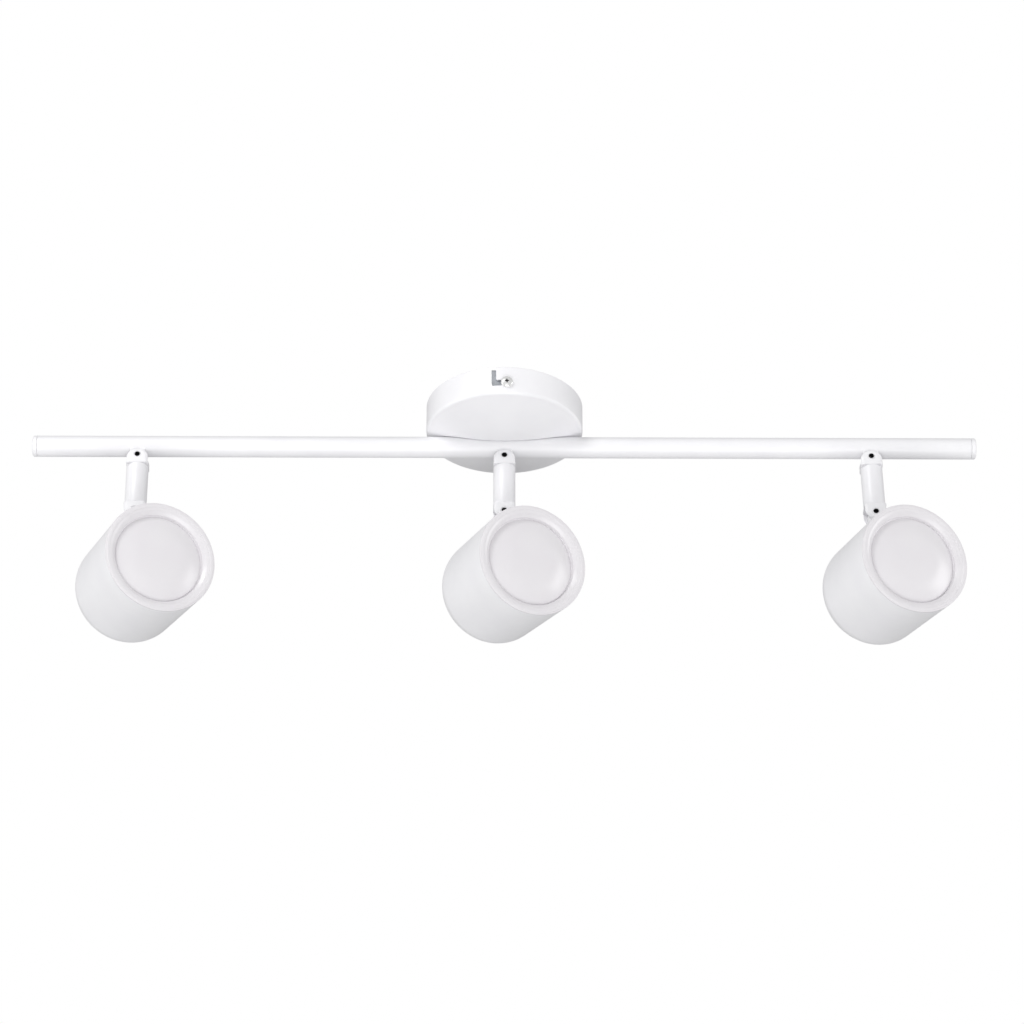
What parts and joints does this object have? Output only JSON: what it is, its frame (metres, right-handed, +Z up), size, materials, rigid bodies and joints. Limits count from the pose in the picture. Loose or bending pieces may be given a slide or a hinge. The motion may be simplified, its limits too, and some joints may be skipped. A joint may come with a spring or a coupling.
{
  "type": "ceiling spot bar",
  "caption": "Ceiling-mounted spotlight bar: a round canopy carries a straight tube with aimable can-shaped lamp heads on short hinged arms.",
  "frame": {"origin": "centre of the ceiling bracket's top face, which lies on the ceiling", "axes": "+X along the tube, +Z up to the ceiling, -Y towards the side the lamp heads face"},
  "size_m": [0.6022, 0.109, 0.1703],
  "materials": {
    "white_paint": "white satin powder coat over pressed steel and tube",
    "bracket_steel": "zinc-plated pressed steel, dull grey",
    "screw_steel": "nickel-plated steel",
    "pivot_steel": "painted steel screw with a dark hexagon socket",
    "brass": "plain brass",
    "terminal_nylon": "natural nylon",
    "wiring_pvc": "white PVC sheath",
    "frosted_diffuser": "frosted opal acrylic",
    "sink_aluminium": "cast aluminium",
    "led_board_white": "white solder mask on an aluminium board",
    "driver_board": "green laminate board with components"
  },
  "bodies": {
    "base": {"canopy_shell": "white_paint", "ceiling_bracket": "bracket_steel", "canopy_screw_front": "screw_steel", "canopy_screw_back": "screw_steel", "terminal_block": "terminal_nylon", "earth_screw": "brass", "tube_nipple": "brass", "nipple_washer": "screw_steel", "nipple_nut": "brass", "bar_tube": "white_paint", "end_cap_left": "white_paint", "end_cap_right": "white_paint", "bar_wiring": "wiring_pvc", "bar_lug_left": "white_paint", "bar_lug_middle": "white_paint", "bar_lug_right": "white_paint"},
    "arm_left": {"arm_tube_left": "white_paint", "clevis_upper_left": "white_paint", "pivot_screw_upper_left": "pivot_steel", "arm_wiring_left": "wiring_pvc", "clevis_lower_left": "white_paint", "pivot_screw_lower_left": "pivot_steel"},
    "neck_left": {"neck_lug_left": "white_paint", "neck_nut_left": "screw_steel"},
    "head_left": {"housing_left": "white_paint", "swivel_pad_left": "white_paint", "lens_left": "frosted_diffuser", "heat_sink_left": "sink_aluminium", "led_board_left": "led_board_white", "driver_left": "driver_board"},
    "arm_middle": {"arm_tube_middle": "white_paint", "clevis_upper_middle": "white_paint", "pivot_screw_upper_middle": "pivot_steel", "arm_wiring_middle": "wiring_pvc", "clevis_lower_middle": "white_paint", "pivot_screw_lower_middle": "pivot_steel"},
    "neck_middle": {"neck_lug_middle": "white_paint", "neck_nut_middle": "screw_steel"},
    "head_middle": {"housing_middle": "white_paint", "swivel_pad_middle": "white_paint", "lens_middle": "frosted_diffuser", "heat_sink_middle": "sink_aluminium", "led_board_middle": "led_board_white", "driver_middle": "driver_board"},
    "arm_right": {"arm_tube_right": "white_paint", "clevis_upper_right": "white_paint", "pivot_screw_upper_right": "pivot_steel", "arm_wiring_right": "wiring_pvc", "clevis_lower_right": "white_paint", "pivot_screw_lower_right": "pivot_steel"},
    "neck_right": {"neck_lug_right": "white_paint", "neck_nut_right": "screw_steel"},
    "head_right": {"housing_right": "white_paint", "swivel_pad_right": "white_paint", "lens_right": "frosted_diffuser", "heat_sink_right": "sink_aluminium", "led_board_right": "led_board_white", "driver_right": "driver_board"}
  },
  "joints": [
    {"name": "arm_hinge_left", "type": "hinge", "parent": "base", "child": "arm_left", "pos_m": [-0.2335, 0, -0.03892], "axis": [0, 1, 0], "range_deg": [-40, 40]},
    {"name": "neck_hinge_left", "type": "hinge", "parent": "arm_left", "child": "neck_left", "pos_m": [-0.2335, 0, -0.07942], "axis": [0, 1, 0], "range_deg": [-37.2, 42.8]},
    {"name": "head_swivel_left", "type": "hinge", "parent": "neck_left", "child": "head_left", "pos_m": [-0.2335, 0, -0.07942], "axis": [-0.0489, 0, 0.9988], "range_deg": [-189.6, 140.4]},
    {"name": "arm_hinge_middle", "type": "hinge", "parent": "base", "child": "arm_middle", "pos_m": [0, 0, -0.03892], "axis": [0, 1, 0], "range_deg": [-40, 40]},
    {"name": "neck_hinge_middle", "type": "hinge", "parent": "arm_middle", "child": "neck_middle", "pos_m": [0, 0, -0.07942], "axis": [0, 1, 0], "range_deg": [-41.4, 38.6]},
    {"name": "head_swivel_middle", "type": "hinge", "parent": "neck_middle", "child": "head_middle", "pos_m": [0, 0, -0.07942], "axis": [0.0244, 0, 0.9997], "range_deg": [-189.9, 140.1]},
    {"name": "arm_hinge_right", "type": "hinge", "parent": "base", "child": "arm_right", "pos_m": [0.2335, 0, -0.03892], "axis": [0, 1, 0], "range_deg": [-38.25, 41.75]},
    {"name": "neck_hinge_right", "type": "hinge", "parent": "arm_right", "child": "neck_right", "pos_m": [0.23474, 0, -0.0794], "axis": [0, 1, 0], "range_deg": [-38.85, 41.15]},
    {"name": "head_swivel_right", "type": "hinge", "parent": "neck_right", "child": "head_right", "pos_m": [0.23474, 0, -0.0794], "axis": [-0.0506, 0, 0.9987], "range_deg": [-185.4, 144.6]}
  ]
}
